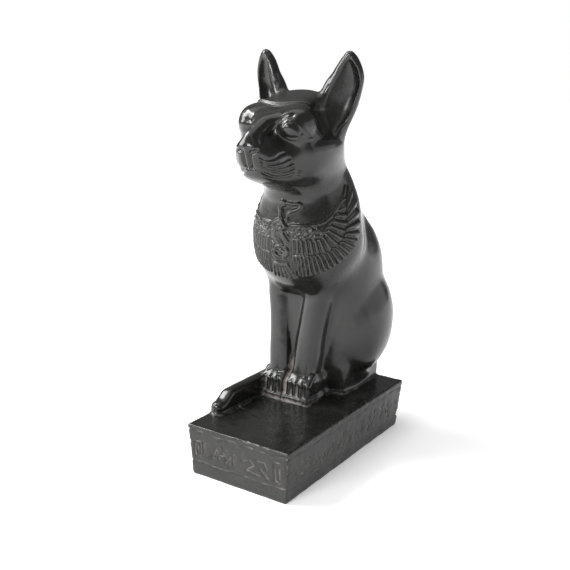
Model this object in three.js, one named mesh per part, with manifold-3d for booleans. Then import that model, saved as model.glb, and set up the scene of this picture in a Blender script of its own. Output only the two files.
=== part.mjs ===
// A seated cat with a winged collar, carved in one piece with its plinth.
// Millimetres, +Z up. The origin is the middle of the plinth's underside and the cat faces -Y.

import * as THREE from 'three';
import { mergeVertices } from 'three/addons/utils/BufferGeometryUtils.js';
import { RoundedBoxGeometry } from 'three/addons/geometries/RoundedBoxGeometry.js';
import Module from 'manifold-3d';

const wasm = await Module();
wasm.setup();

// Driving sizes
const plinthWidth = 43.5;
const plinthLength = 86.7;
const plinthHeight = 19.6;
const plinthTaper = 1.5;          // how far each side leans in at the bottom
const catMidX = -5.8;             // midline of the head, neck and chest
const pawMidX = -6.9;             // midline of the forelegs
const rumpMidX = -1.2;            // midline of the haunches
const footMidX = -3.6;            // midline of the hind feet
const backMidX = -1.9;            // midline of the back
const earTip = [17.8, 4.7];       // from the head's midline
const earTurn = 18;               // degrees that each ear opens outwards

// Head masses: middle, radii and forward tilt, with x from the midline
const skullMass = { at: [0, 0.5, 120.2], radii: [16.4, 17.5, 15.0], tilt: 5 };
const browMass = { at: [7.0, -11.0, 125.5], radii: [8.0, 9.5, 7.0], tilt: 16 };
const cheekMass = { at: [9.5, -6.0, 114.5], radii: [8.0, 12.0, 9.0], tilt: 0 };
const padMass = { at: [3.6, -21.8, 113.0], radii: [5.4, 6.6, 5.6], tilt: 12 };
const noseMass = { at: [0, -29.1, 120.7], radii: [3.8, 2.6, 2.7], tilt: 0 };
const chinMass = { at: [0, -18.0, 108.0], radii: [6.0, 7.0, 3.4], tilt: 8 };
const jawMass = { at: [0, -7.0, 109.5], radii: [12.0, 13.5, 6.5], tilt: 0 };
const snoutLimb = { from: [0, -9.0, 118.5], to: [0, -21.5, 114.6], radii: [12.0, 7.2] };
const bridgeLimb = { from: [0, -12.0, 125.2], to: [0, -26.8, 120.9], radii: [6.4, 4.0] };

// Body masses
const neckLimb = { from: [0, 4.5, 108.0], to: [0, 9.5, 92.0], radii: [14.4, 17.2] };
const chestMass = { at: [0, 9.0, 80.5], radii: [20.2, 18.2, 20.5], tilt: 0 };
const shoulderLimb = { from: [10.8, 12.5, 95.0], to: [12.6, 13.0, 80.0], radii: [6.6, 6.4] };
const armLimb = { from: [12.6, 13.0, 80.0], to: [12.0, 17.0, 66.0], radii: [6.4, 6.2] };
const thighMass = { at: [10.4, 26.5, 46.0], radii: [10.8, 19.0, 20.0], tilt: -12 };
const hindFoot = { at: [7.9, 29.0, 23.2], half: [5.2, 14.6, 8.0], round: 1.6 };

// The back: height, front, rear and half width
const backRows = [
  [19, 10, 43.0, 11.0],
  [26, 9, 43.4, 12.0],
  [34, 9, 44.2, 15.0],
  [42, 9, 44.6, 17.8],
  [52, 9, 44.6, 17.8],
  [62, 9, 44.4, 17.6],
  [74, 8, 43.8, 17.8],
  [81, 6, 41.8, 16.8],
  [87, 4, 37.0, 15.6],
  [92, 2, 31.0, 15.0],
  [98, 0, 26.5, 14.6],
  [106, -2, 21.5, 14.2],
  [118, -4, 14.0, 10.0]
];

// A foreleg with its upper arm: height, middle x from the paws' midline, middle y, half width, half depth
const legRows = [
  [20, 5.1, 3.6, 4.5, 4.8],
  [30, 5.2, 4.2, 4.4, 4.8],
  [36, 5.5, 5.2, 4.5, 5.4],
  [44, 6.0, 7.4, 4.6, 6.9],
  [53, 6.8, 10.4, 4.9, 9.2],
  [62, 7.8, 13.2, 5.3, 11.2],
  [72, 8.8, 14.0, 5.6, 11.2]
];
const legWeb = { at: [0, 14.0, 44.0], half: [9.0, 9.6, 25.0] };

// An ear: height, outer reach, inner reach and depth, from the line under its tip
const earRows = [
  [116, -3.5, -8.5, 2.0],
  [122, 0.3, -11.0, 4.6],
  [126, 2.9, -12.0, 5.6],
  [131, 4.6, -11.2, 6.2],
  [136, 5.5, -9.2, 6.0],
  [140, 5.5, -6.9, 5.4],
  [144, 4.6, -4.6, 4.3],
  [147.3, 2.9, -2.6, 2.8],
  [149.2, 1.4, -1.3, 1.6],
  [150.2, 0.4, -0.4, 0.6]
];
const earRim = { outer: 1.5, inner: 0.9, forward: 0.5, depth: 0.8 };

// Paws: the pad behind the toes, and the toes from the ankle over the knuckle to the claw
const pawMass = { at: [5.2, 2.0, 21.0], radii: [5.0, 7.0, 8.4] };
const toes = { count: 4, first: 1.35, pitch: 2.5, ankle: [2.0, 28.6], knuckle: [-1.9, 25.6], claw: [-2.7, 20.0], radius: 1.25 };

// The tail leaves the spine at the back and lies as a low wall along the plinth's edge on the cat's right
const tail = {
  path: [[-3.0, 40.0], [-11.0, 41.2], [-16.6, 36.5], [-19.0, 29.0], [-19.1, 12.0], [-19.1, -8.0], [-19.0, -28.5]],
  sections: 15,
  halfWidth: 2.4,
  bottom: 18.9,
  rootTop: 30.0,
  top: 26.9,
  tipTop: 24.2,
  tipSlope: 3.5,                  // the last stretch, where the top falls away
  corner: 1.5
};

// The collar's lines on one side of the unrolled chest: length round from the midline and height
const collar = {
  axisY: 9.5,
  unroll: 19.0,                   // chest radius that turns an angle into a length
  rim: [[0, 89.0], [9, 89.4], [17.4, 91.9], [23.2, 96.5], [29.5, 101.5]],
  coverts: [[4.6, 84.0], [13, 84.4], [16.5, 86.3], [18.6, 89.5], [22.9, 94.7], [28.5, 100.3]],
  tier: [[4.6, 78.3], [12.2, 78.7], [17.5, 80.6], [22.5, 83.5], [24.8, 88], [26, 95], [29, 101]],
  edge: [[5.6, 69.9], [13.5, 71.3], [20.6, 74], [28.2, 80.4], [31.6, 86], [32.4, 92], [31, 100.5]],
  upperCount: 10,
  lowerCount: 16,
  ribWidth: 0.8,
  proud: 0.7,                     // a feather's spine above the chest
  valley: 0.15                    // the furrow beside it
};
const sunk = 0.8;                 // how far applied relief reaches into the surface

// Lines cut into the plinth's sides. A form is half a stroke's slant and its lowest and highest point.
const strokes = {
  width: 0.7,
  depth: 0.4,
  margin: 1.6,
  borders: [5.4, 17.4],
  forms: [[0, 8.4, 14.6], [0, 11.8, 14.6], [1.3, 9.4, 9.7], [0, 8.4, 11.0], [0, 9.8, 14.6], [1.3, 13.0, 13.3]],
  faces: [
    { face: 0, start: -16.2, pitch: 3.6, count: 10 },
    { face: 1, start: -34, pitch: 5.2, count: 14 }
  ]
};

// The bird between the wings: heights on the chest
const bird = {
  body: { height: 89.2, radii: [2.6, 1.2, 3.0] },
  head: { height: 97.2, radii: [1.7, 1.0, 1.5] },
  disc: { height: 79.2, radii: [1.5, 0.8, 1.5] },
  neckWidth: 1.6,
  tail: { from: 75.6, to: 70.4, halfWidths: [1.6, 4.6], count: 6 }
};

// Eyes, drawn from the front: x from the midline and height
const eyeCorners = { inner: [4.9, 123.4], outer: [14.6, 120.9], top: [9.4, 127.5], under: [9.4, 121.3] };
const eyeBall = { at: [9.9, 124.2], radii: [2.9, 1.7, 2.5], sunk: 1.1 };
const lidWidth = 0.7;
const lidProud = 0.35;

// Lines cut into each side of the face: places from the midline and up
const faceLines = [
  [[1.7, 118.4], [1.5, 115.0], [0.9, 112.2], [0.15, 110.6]],
  [[0.0, 110.6], [2.6, 109.8], [5.0, 108.6], [8.0, 108.0], [10.6, 109.6]]
];
const faceLineWidth = 0.7;
const grooveDepth = 0.5;

// Softness of the joins between masses
const faceBlend = 5;
const muzzleBlend = 2.5;
const bodyBlend = 8;
const backBlend = 3.5;
const neckBlend = 4;

// Ring spacing of the body's surface
const ringSides = 30;
const bodyRings = 16;
const headRings = 21;
const capRings = 4;
const bodyBottom = 14;
const fanPivot = [-14, 98];       // y and z of the point under the chin that the head's rings fan about
const fanEnd = 126;               // degrees
const fanReach = [22, 20, 19];    // spine's distance from the pivot at the neck, the crown and the muzzle

const polished = new THREE.MeshStandardMaterial({ color: 0x1c1d1b, roughness: 0.32, metalness: 0.0 });

// Field arithmetic: every mass is a distance, below zero inside

function blend(a, b, softness) {
  const h = Math.max(softness - Math.abs(a - b), 0) / softness;
  return Math.min(a, b) - h * h * softness * 0.25;
}

function turned(y, z, degrees) {
  const a = THREE.MathUtils.degToRad(-degrees);
  return [y * Math.cos(a) - z * Math.sin(a), y * Math.sin(a) + z * Math.cos(a)];
}

function massAt(p, mass) {
  const x = p[0] - mass.at[0];
  const [y, z] = turned(p[1] - mass.at[1], p[2] - mass.at[2], mass.tilt);
  const [rx, ry, rz] = mass.radii;
  const k0 = Math.hypot(x / rx, y / ry, z / rz);
  const k1 = Math.hypot(x / (rx * rx), y / (ry * ry), z / (rz * rz));
  return (k0 * (k0 - 1)) / Math.max(k1, 1e-9);
}

function limbAt(p, limb) {
  const ab = limb.to.map((v, i) => v - limb.from[i]);
  const ap = p.map((v, i) => v - limb.from[i]);
  const length2 = ab[0] ** 2 + ab[1] ** 2 + ab[2] ** 2;
  const t = THREE.MathUtils.clamp((ap[0] * ab[0] + ap[1] * ab[1] + ap[2] * ab[2]) / length2, 0, 1);
  const d = Math.hypot(ap[0] - t * ab[0], ap[1] - t * ab[1], ap[2] - t * ab[2]);
  return d - (limb.radii[0] + (limb.radii[1] - limb.radii[0]) * t);
}

// A smooth curve through one column of rows that rise in their first column
function between(height, rows, column) {
  const last = rows.length - 1;
  const z = THREE.MathUtils.clamp(height, rows[0][0], rows[last][0]);
  let i = 0;
  while (i < last - 1 && z > rows[i + 1][0]) {
    i += 1;
  }
  const slope = (k) => {
    const a = Math.max(k - 1, 0);
    const b = Math.min(k + 1, last);
    return (rows[b][column] - rows[a][column]) / (rows[b][0] - rows[a][0]);
  };
  const step = rows[i + 1][0] - rows[i][0];
  const s = (z - rows[i][0]) / step;
  const start = (2 * s ** 3 - 3 * s ** 2 + 1) * rows[i][column] + (s ** 3 - 2 * s ** 2 + s) * step * slope(i);
  const end = (3 * s ** 2 - 2 * s ** 3) * rows[i + 1][column] + (s ** 3 - s ** 2) * step * slope(i + 1);
  return start + end;
}

// Distance from an upright form whose level section is a rounded oval
function sectionAt(x, y, halfWidth, halfDepth, power) {
  const u = Math.abs(x) / halfWidth;
  const v = Math.abs(y) / halfDepth;
  const k = (u ** power + v ** power) ** (1 / power) + 1e-9;
  const slope = Math.hypot((u / k) ** (power - 1) / halfWidth, (v / k) ** (power - 1) / halfDepth);
  return Math.min((k - 1) / (slope + 1e-9), 40);
}

function headAt(p) {
  const m = [Math.abs(p[0] - catMidX), p[1], p[2]];
  let d = blend(massAt(m, skullMass), massAt(m, browMass), faceBlend);
  d = blend(d, massAt(m, cheekMass), faceBlend + 1);
  d = blend(d, massAt(m, jawMass), faceBlend);
  d = blend(d, limbAt(m, snoutLimb), faceBlend);
  d = blend(d, limbAt(m, bridgeLimb), faceBlend - 1);
  d = blend(d, massAt(m, padMass), muzzleBlend);
  d = blend(d, massAt(m, noseMass), muzzleBlend);
  return blend(d, massAt(m, chinMass), muzzleBlend);
}

function backAt(p) {
  const front = between(p[2], backRows, 1);
  const rear = between(p[2], backRows, 2);
  const halfWidth = between(p[2], backRows, 3);
  const lean = THREE.MathUtils.smoothstep(p[2], 60, 100);
  const midX = backMidX + (catMidX - backMidX) * lean;
  const d = sectionAt(p[0] - midX, p[1] - (front + rear) / 2, halfWidth, (rear - front) / 2, 2.3);
  return Math.max(d, p[2] - 118);
}

function torsoAt(p) {
  const m = [Math.abs(p[0] - catMidX), p[1], p[2]];
  let d = blend(limbAt(m, neckLimb), massAt(m, chestMass), bodyBlend);
  const arm = blend(limbAt(m, shoulderLimb), limbAt(m, armLimb), 2);
  d = blend(d, arm, neckBlend);
  return blend(d, backAt(p), backBlend);
}

function bodyAt(p) {
  return blend(headAt(p), torsoAt(p), neckBlend);
}

// Solids

function toSolid(geometry) {
  const bare = geometry.index ? geometry.toNonIndexed() : geometry;
  bare.deleteAttribute('normal');
  bare.deleteAttribute('uv');
  const merged = mergeVertices(bare, 1e-4);
  const mesh = new wasm.Mesh({
    numProp: 3,
    vertProperties: new Float32Array(merged.attributes.position.array),
    triVerts: new Uint32Array(merged.index.array)
  });
  mesh.merge();
  return new wasm.Manifold(mesh);
}

// Walks out from a point inside until the field turns positive
function surfaceAlong(field, from, direction, reach) {
  const at = (t) => [from[0] + direction[0] * t, from[1] + direction[1] * t, from[2] + direction[2] * t];
  let low = 0;
  let high = 0;
  while (high < reach) {
    const value = field(at(high));
    if (value > 0) {
      break;
    }
    low = high;
    high += Math.max(-value * 0.8, 0.1);
  }
  for (let i = 0; i < 24; i += 1) {
    const middle = (low + high) / 2;
    if (field(at(middle)) > 0) {
      high = middle;
    } else {
      low = middle;
    }
  }
  return at(low);
}

// A closed skin over rings of points: a cylinder's sides and caps, moved to the rings
function skinOver(rings, bottom, top) {
  const sides = rings[0].length;
  const skin = new THREE.CylinderGeometry(1, 1, 1, sides, rings.length - 1, true);
  const place = skin.attributes.position;
  rings.forEach((ring, level) => {
    for (let i = 0; i <= sides; i += 1) {
      place.setXYZ((rings.length - 1 - level) * (sides + 1) + i, ...ring[i % sides]);
    }
  });
  const lids = [[rings[0], bottom, 1], [rings[rings.length - 1], top, -1]];
  const faces = [];
  const open = skin.toNonIndexed().attributes.position.array;
  lids.forEach(([ring, middle, way]) => {
    for (let i = 0; i < sides; i += 1) {
      const a = ring[i];
      const b = ring[(i + 1) % sides];
      faces.push(...middle, ...(way > 0 ? b : a), ...(way > 0 ? a : b));
    }
  });
  const whole = new THREE.BufferGeometry();
  whole.setAttribute('position', new THREE.Float32BufferAttribute([...open, ...faces], 3));
  return whole;
}

// Level ovals stacked into a closed skin
function stackSkin(rows, sides, levels, oval) {
  const first = rows[0][0];
  const last = rows[rows.length - 1][0];
  const rings = [];
  for (let k = 0; k <= levels; k += 1) {
    const z = first + ((last - first) * k) / levels;
    const o = oval(z);
    const ring = [];
    for (let i = 0; i < sides; i += 1) {
      const a = (2 * Math.PI * i) / sides;
      ring.push([o.x + o.halfWidth * Math.sin(a), o.y - o.halfDepth * Math.cos(a), z]);
    }
    rings.push({ ring, middle: [o.x, o.y, z] });
  }
  return skinOver(rings.map((r) => r.ring), rings[0].middle, rings[levels].middle);
}

function massSolid(mass, midX, side, segments) {
  const ball = new THREE.SphereGeometry(1, segments[0], segments[1]);
  ball.scale(...mass.radii);
  ball.rotateX(THREE.MathUtils.degToRad(mass.tilt || 0));
  ball.translate(midX + side * mass.at[0], mass.at[1], mass.at[2]);
  return toSolid(ball);
}

function blockSolid(x, y, z, half, round) {
  const block = new RoundedBoxGeometry(2 * half[0], 2 * half[1], 2 * half[2], 1, round);
  block.translate(x, y, z);
  return toSolid(block);
}

// A round ended rod between two points
function rodSolid(from, to, radius, sides) {
  const a = new THREE.Vector3(...from);
  const b = new THREE.Vector3(...to);
  const rod = new THREE.CapsuleGeometry(radius, a.distanceTo(b), 1, sides);
  const turn = new THREE.Quaternion().setFromUnitVectors(new THREE.Vector3(0, 1, 0), b.clone().sub(a).normalize());
  rod.applyQuaternion(turn);
  rod.translate((a.x + b.x) / 2, (a.y + b.y) / 2, (a.z + b.z) / 2);
  return toSolid(rod);
}

function gradientOf(field, p) {
  const step = 0.2;
  const g = [0, 1, 2].map((k) => {
    const up = p.slice();
    const down = p.slice();
    up[k] += step;
    down[k] -= step;
    return field(up) - field(down);
  });
  return new THREE.Vector3(...g).normalize();
}

// A band laid along a path on the surface, standing proud of it or cut into it
function bandSolid(field, path, width, proud, depth) {
  const points = path.map((p) => new THREE.Vector3(...p));
  const rings = points.map((point, k) => {
    const ahead = points[Math.min(k + 1, points.length - 1)];
    const along = ahead.clone().sub(points[Math.max(k - 1, 0)]).normalize();
    const out = gradientOf(field, point.toArray());
    const side = new THREE.Vector3().crossVectors(out, along).normalize();
    const corner = (across, lift) => point.clone().addScaledVector(side, across).addScaledVector(out, lift).toArray();
    const half = width / 2;
    return [corner(-half, -depth), corner(-half, proud), corner(half, proud), corner(half, -depth)];
  });
  return ribbedSkin(rings);
}

// A fan of feathers: sections across it whose height swings between spine and furrow
function feathersSolid(field, inner, outer, proud, valley) {
  const lifted = (p, lift) => {
    const point = new THREE.Vector3(...p);
    return point.addScaledVector(gradientOf(field, p), lift).toArray();
  };
  const rings = inner.map((p, k) => {
    const lift = k % 2 === 0 ? valley : proud;
    return [lifted(p, -sunk), lifted(p, lift), lifted(outer[k], lift), lifted(outer[k], -sunk)];
  });
  return ribbedSkin(rings);
}

function ribbedSkin(rings) {
  const middleOf = (ring) => [0, 1, 2].map((k) => ring.reduce((sum, p) => sum + p[k], 0) / ring.length);
  const solid = toSolid(skinOver(rings, middleOf(rings[0]), middleOf(rings[rings.length - 1])));
  if (solid.volume() > 0) {
    return solid;
  }
  const turnedOver = rings.map((ring) => ring.slice().reverse());
  return toSolid(skinOver(turnedOver, middleOf(rings[0]), middleOf(rings[rings.length - 1])));
}

function joinAll(solids) {
  return wasm.Manifold.union(solids);
}

// The largest shell alone, so that small pockets shut in between the toes are solid
function outerShell(solid) {
  const shells = solid.decompose();
  return shells.reduce((largest, shell) => (shell.volume() > largest.volume() ? shell : largest));
}

// The spine's middle at each height of the trunk
const spineRows = [
  [bodyBottom, 26],
  [40, 26],
  [60, 24],
  [75, 18],
  [90, 11],
  [98, 8]
];

function ringAbout(middle, forward, lift, tilt) {
  const ring = [];
  for (let i = 0; i < ringSides; i += 1) {
    const a = (2 * Math.PI * i) / ringSides;
    const direction = [
      Math.sin(a) * tilt,
      forward[0] * Math.cos(a) * tilt + lift[0],
      forward[1] * Math.cos(a) * tilt + lift[1]
    ];
    ring.push(surfaceAlong(bodyAt, middle, direction, 60));
  }
  return ring;
}

// Trunk, neck and head as one skin: level rings up the trunk, then rings that fan about the throat
function bodySolid() {
  const rings = [];
  const top = fanPivot[1];
  for (let k = 0; k < bodyRings; k += 1) {
    const z = bodyBottom + ((top - bodyBottom) * k) / bodyRings;
    const lean = THREE.MathUtils.smoothstep(z, 50, 90);
    const x = (catMidX + backMidX) / 2 + ((catMidX - backMidX) / 2) * lean;
    rings.push(ringAbout([x, between(z, spineRows, 1), z], [-1, 0], [0, 0], 1));
  }
  const reachRows = [
    [0, fanReach[0]],
    [75, fanReach[1]],
    [fanEnd, fanReach[2]]
  ];
  const fanMiddle = (degrees) => {
    const reach = between(degrees, reachRows, 1);
    const a = THREE.MathUtils.degToRad(degrees);
    return [catMidX, fanPivot[0] + reach * Math.cos(a), fanPivot[1] + reach * Math.sin(a)];
  };
  for (let k = 0; k <= headRings; k += 1) {
    const degrees = (fanEnd * k) / headRings;
    const a = THREE.MathUtils.degToRad(degrees);
    rings.push(ringAbout(fanMiddle(degrees), [-Math.cos(a), -Math.sin(a)], [0, 0], 1));
  }
  const a = THREE.MathUtils.degToRad(fanEnd);
  const muzzle = fanMiddle(fanEnd);
  for (let k = 1; k < capRings; k += 1) {
    const open = (Math.PI / 2) * (1 - k / capRings);
    const lift = [-Math.sin(a) * Math.cos(open), Math.cos(a) * Math.cos(open)];
    rings.push(ringAbout(muzzle, [-Math.cos(a), -Math.sin(a)], lift, Math.sin(open)));
  }
  const tip = surfaceAlong(bodyAt, muzzle, [0, -Math.sin(a), Math.cos(a)], 60);
  const bottom = [(catMidX + backMidX) / 2, spineRows[0][1], bodyBottom];
  return toSolid(skinOver(rings, bottom, tip));
}

function earSolids(side) {
  const place = (geometry) => {
    if (side < 0) {
      geometry.scale(-1, 1, 1);
      const flat = geometry.attributes.position.array;
      for (let i = 0; i < flat.length; i += 9) {
        for (let k = 0; k < 3; k += 1) {
          const held = flat[i + k];
          flat[i + k] = flat[i + 3 + k];
          flat[i + 3 + k] = held;
        }
      }
    }
    geometry.translate(catMidX, 0, 0);
    return toSolid(geometry);
  };
  const turnAndMove = (geometry) => {
    geometry.rotateZ(THREE.MathUtils.degToRad(earTurn));
    geometry.translate(earTip[0], earTip[1], 0);
    return geometry;
  };
  const shell = stackSkin(earRows, 12, 11, (z) => {
    const outer = between(z, earRows, 1);
    const inner = between(z, earRows, 2);
    const depth = between(z, earRows, 3);
    return { x: (outer + inner) / 2, y: 0.3 * depth, halfWidth: (outer - inner) / 2, halfDepth: 0.7 * depth };
  });
  const inside = earRows.slice(1, -1);
  const hollow = stackSkin(inside, 10, 8, (z) => {
    const outer = between(z, earRows, 1) - earRim.outer;
    const inner = between(z, earRows, 2) + earRim.inner;
    const depth = between(z, earRows, 3);
    return {
      x: (outer + inner) / 2,
      y: -earRim.forward * depth,
      halfWidth: Math.max((outer - inner) / 2, 0.15),
      halfDepth: earRim.depth * depth
    };
  });
  return { shell: place(turnAndMove(shell)), hollow: place(turnAndMove(hollow)) };
}

function forelegSolid(side) {
  return toSolid(stackSkin(legRows, 14, 8, (z) => ({
    x: pawMidX + side * between(z, legRows, 1),
    y: between(z, legRows, 2),
    halfWidth: between(z, legRows, 3),
    halfDepth: between(z, legRows, 4)
  })));
}

function pawSolids(side) {
  const solids = [massSolid({ ...pawMass, tilt: 0 }, pawMidX, side, [10, 6])];
  for (let i = 0; i < toes.count; i += 1) {
    const x = pawMidX + side * (toes.first + toes.pitch * i);
    const knuckle = [x, ...toes.knuckle];
    solids.push(rodSolid([x, ...toes.ankle], knuckle, toes.radius, 6));
    solids.push(rodSolid(knuckle, [x, ...toes.claw], toes.radius, 6));
  }
  return solids;
}

function tailSolid() {
  const path = new THREE.SplineCurve(tail.path.map((place) => new THREE.Vector2(...place)));
  const length = path.getLength();
  const rings = steps(tail.sections, (t) => {
    const place = path.getPointAt(t);
    const along = path.getTangentAt(t);
    const across = [along.y, -along.x];
    const left = length * (1 - t);
    const drop = THREE.MathUtils.smoothstep(left, 0, tail.tipSlope);
    const rise = 1 - THREE.MathUtils.smoothstep(length * t, 4, 24);
    const top = tail.tipTop + (tail.top - tail.tipTop) * drop + (tail.rootTop - tail.top) * rise;
    const point = (side, height) => [place.x + across[0] * side, place.y + across[1] * side, height];
    const half = tail.halfWidth;
    const inset = half - tail.corner;
    return [
      point(-half, tail.bottom),
      point(-half, top - tail.corner),
      point(-inset, top - 0.3 * tail.corner),
      point(0, top),
      point(inset, top - 0.3 * tail.corner),
      point(half, top - tail.corner),
      point(half, tail.bottom)
    ];
  });
  return ribbedSkin(rings);
}

// Distance from the plinth's leaning sides
function plinthAt(p) {
  const lean = plinthTaper * (1 - p[2] / plinthHeight);
  return Math.max(Math.abs(p[0]) - plinthWidth / 2 + lean, Math.abs(p[1]) - plinthLength / 2 + lean);
}

// A point on one of the four sides: its place along that side, from the left as seen from outside
function sidePoint(face, along, height) {
  const lean = plinthTaper * (1 - height / plinthHeight);
  const reach = (face % 2 === 0 ? plinthLength : plinthWidth) / 2 - lean;
  const turn = (face * Math.PI) / 2;
  return [along * Math.cos(turn) + reach * Math.sin(turn), along * Math.sin(turn) - reach * Math.cos(turn), height];
}

// Border lines round the plinth, and rows of plain strokes between them on the two sides that are carved
function plinthCuts() {
  const cut = (face, from, to) => {
    const path = [sidePoint(face, ...from), sidePoint(face, ...to)];
    return bandSolid(plinthAt, path, strokes.width, 1.0, strokes.depth);
  };
  const cuts = [];
  [0, 1, 2, 3].forEach((face) => {
    const half = (face % 2 === 0 ? plinthWidth : plinthLength) / 2 - strokes.margin;
    strokes.borders.forEach((height) => cuts.push(cut(face, [-half, height], [half, height])));
  });
  strokes.faces.forEach(({ face, start, pitch, count }) => {
    for (let i = 0; i < count; i += 1) {
      const along = start + pitch * i;
      const [dx, low, high] = strokes.forms[i % strokes.forms.length];
      cuts.push(cut(face, [along - dx, low], [along + dx, high]));
    }
  });
  return cuts;
}

function plinthSolid() {
  const plinth = new THREE.BoxGeometry(plinthWidth, plinthLength, plinthHeight);
  plinth.translate(0, 0, plinthHeight / 2);
  const place = plinth.attributes.position;
  for (let i = 0; i < place.count; i += 1) {
    if (place.getZ(i) < plinthHeight / 2) {
      place.setX(i, place.getX(i) - Math.sign(place.getX(i)) * plinthTaper);
      place.setY(i, place.getY(i) - Math.sign(place.getY(i)) * plinthTaper);
    }
  }
  return toSolid(plinth);
}

// A point of the chest's surface from its unrolled place
function chestPoint(side, length, height) {
  const angle = length / collar.unroll;
  const from = [catMidX, collar.axisY, height];
  return surfaceAlong(torsoAt, from, [side * Math.sin(angle), -Math.cos(angle), 0], 60);
}

function lineOnChest(side, places, count) {
  const curve = new THREE.SplineCurve(places.map((place) => new THREE.Vector2(...place)));
  return steps(count, (t) => {
    const place = curve.getPointAt(t);
    return chestPoint(side, place.x, place.y);
  });
}

function steps(count, make) {
  return Array.from({ length: count + 1 }, (_, i) => make(i / count));
}

function collarSolids(side) {
  const { rim, coverts, tier, edge, upperCount, lowerCount, proud, valley } = collar;
  const feathers = (from, to, count) => {
    const inner = lineOnChest(side, from, 2 * count);
    return feathersSolid(torsoAt, inner, lineOnChest(side, to, 2 * count), proud, valley);
  };
  const rib = (places) => bandSolid(torsoAt, lineOnChest(side, places, 8), collar.ribWidth, proud, sunk);
  return [feathers(coverts, tier, upperCount), feathers(tier, edge, lowerCount), rib(rim), rib(tier)];
}

function birdSolids() {
  const bead = (part) => {
    const at = chestPoint(1, 0, part.height);
    return massSolid({ at, radii: part.radii }, 0, 1, [8, 4]);
  };
  const neck = steps(2, (t) => chestPoint(1, 0, bird.body.height + (bird.head.height - bird.body.height) * t));
  const { from, to, halfWidths, count } = bird.tail;
  const across = (halfWidth, height) => steps(2 * count, (t) => {
    const length = halfWidth * (2 * t - 1);
    return chestPoint(Math.sign(length) || 1, Math.abs(length), height);
  });
  return [
    bead(bird.body),
    bead(bird.head),
    bead(bird.disc),
    bandSolid(torsoAt, neck, bird.neckWidth, collar.proud, sunk),
    feathersSolid(torsoAt, across(halfWidths[0], from), across(halfWidths[1], to), collar.proud, collar.valley)
  ];
}

// A point of the face's surface, drawn from the front
function facePoint(side, x, z) {
  return surfaceAlong(headAt, [catMidX + side * x, -4, z], [0, -1, 0], 60);
}

function eyeSolids(side) {
  const { inner, outer, top, under } = eyeCorners;
  const lid = (crest) => {
    const pull = [crest[0], 2 * crest[1] - (inner[1] + outer[1]) / 2];
    const curve = new THREE.QuadraticBezierCurve(...[inner, pull, outer].map((p) => new THREE.Vector2(...p)));
    const path = curve.getPoints(5).map((p) => facePoint(side, p.x, p.y));
    return bandSolid(headAt, path, lidWidth, lidProud, sunk);
  };
  const ball = facePoint(side, ...eyeBall.at);
  const eye = massSolid({ at: [ball[0], ball[1] + eyeBall.sunk, ball[2]], radii: eyeBall.radii }, 0, 1, [8, 5]);
  return [lid(top), lid(under), eye];
}

function faceCuts(side) {
  return faceLines.map((line) => {
    const path = line.map((place) => facePoint(side, ...place));
    return bandSolid(headAt, path, faceLineWidth, 1.0, grooveDepth);
  });
}

function build() {
  const sides = [1, -1];
  const ears = sides.map(earSolids);
  const cat = joinAll([bodySolid(), ...ears.map((ear) => ear.shell.subtract(ear.hollow))]);
  const face = cat.subtract(joinAll(sides.flatMap(faceCuts)));
  const plinth = plinthSolid().subtract(joinAll(plinthCuts()));
  const limbs = sides.flatMap((side) => [
    massSolid(thighMass, rumpMidX, side, [16, 11]),
    blockSolid(footMidX + side * hindFoot.at[0], hindFoot.at[1], hindFoot.at[2], hindFoot.half, hindFoot.round),
    forelegSolid(side),
    ...pawSolids(side),
    ...collarSolids(side),
    ...eyeSolids(side)
  ]);
  const relief = birdSolids();
  const web = blockSolid(pawMidX + legWeb.at[0], legWeb.at[1], legWeb.at[2], legWeb.half, 1.2);
  return outerShell(joinAll([face, web, plinth, tailSolid(), ...limbs, ...relief]));
}

function toGeometry(solid) {
  const mesh = solid.getMesh();
  const geometry = new THREE.BufferGeometry();
  geometry.setAttribute('position', new THREE.BufferAttribute(new Float32Array(mesh.vertProperties), 3));
  geometry.setIndex(new THREE.BufferAttribute(new Uint32Array(mesh.triVerts), 1));
  return geometry;
}

const statue = new THREE.Mesh(toGeometry(build()), polished);
statue.name = 'cat_statue';

const model = new THREE.Group();
model.add(statue);
export default model;
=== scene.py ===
# A seated cat with a winged collar, carved in one piece of black stone with its plinth.
# Shapes are worked out in millimetres and written to the mesh in metres.

import math

import bmesh
import bpy
import numpy as np
from mathutils import Matrix, Vector


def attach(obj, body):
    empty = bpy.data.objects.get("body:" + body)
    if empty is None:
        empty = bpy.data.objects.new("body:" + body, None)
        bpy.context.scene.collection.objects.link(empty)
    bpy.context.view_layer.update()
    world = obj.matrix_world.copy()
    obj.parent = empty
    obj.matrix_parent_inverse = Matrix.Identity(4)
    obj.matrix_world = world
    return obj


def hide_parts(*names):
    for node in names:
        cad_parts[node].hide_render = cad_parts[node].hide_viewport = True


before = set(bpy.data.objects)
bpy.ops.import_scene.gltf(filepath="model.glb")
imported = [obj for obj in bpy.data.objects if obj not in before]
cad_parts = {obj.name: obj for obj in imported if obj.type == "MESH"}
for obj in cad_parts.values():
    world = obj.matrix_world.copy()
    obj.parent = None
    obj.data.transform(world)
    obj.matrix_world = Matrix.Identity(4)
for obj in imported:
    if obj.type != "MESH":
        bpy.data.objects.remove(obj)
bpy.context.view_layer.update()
mm = 0.001
print("frame loaded")

# What stands where
midlines = {"cat": -5.8, "paws": -6.9, "rump": -1.2, "feet": -3.6, "back": -1.9}
plinth = {"width": 43.5, "length": 86.7, "height": 19.6, "taper": 1.5, "edge": 0.45}

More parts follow.
